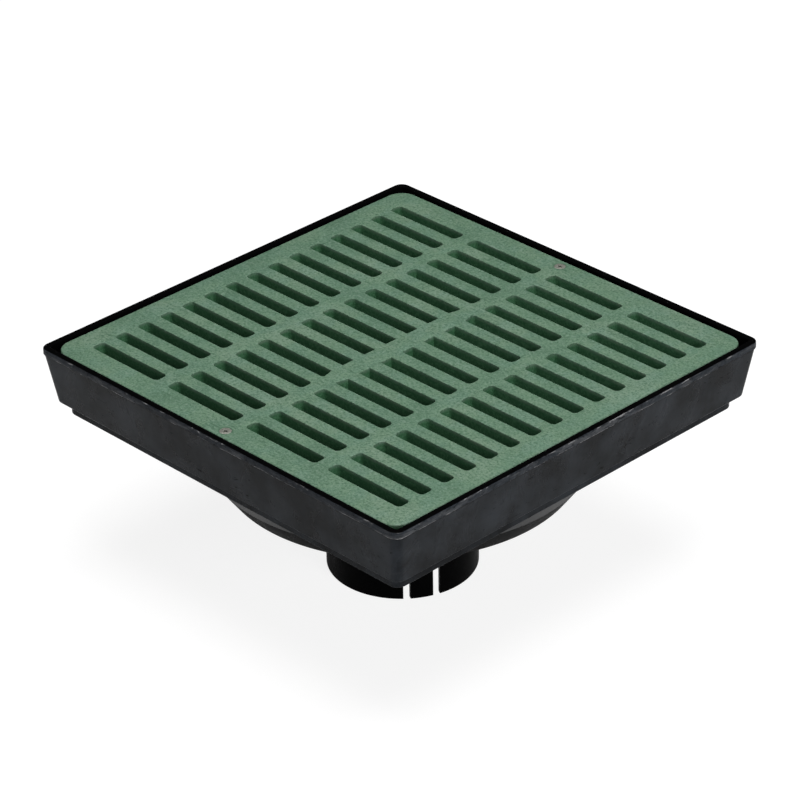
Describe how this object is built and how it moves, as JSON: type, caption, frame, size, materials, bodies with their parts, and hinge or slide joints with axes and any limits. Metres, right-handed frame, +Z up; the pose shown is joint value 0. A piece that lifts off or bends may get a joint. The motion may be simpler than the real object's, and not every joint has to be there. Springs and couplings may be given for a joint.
{
  "type": "low-profile drain grate",
  "caption": "Shallow square drain basin with a round outlet spigot and a slotted flush grate held down by screws.",
  "frame": {"origin": "centre of the spigot's open end, which is the lowest point", "axes": "+Z up out of the grate, X along the slots, Y across the slots through the two screws"},
  "size_m": [0.3102, 0.3102, 0.1542],
  "materials": {
    "basin_plastic": "black moulded polyolefin, scuffed satin",
    "grate_plastic": "green moulded polyolefin, fine matt texture",
    "screw_steel": "stainless, satin"
  },
  "bodies": {
    "root": {"basin_body": "basin_plastic", "grate": "grate_plastic", "grate_screws": "screw_steel"}
  },
  "joints": []
}
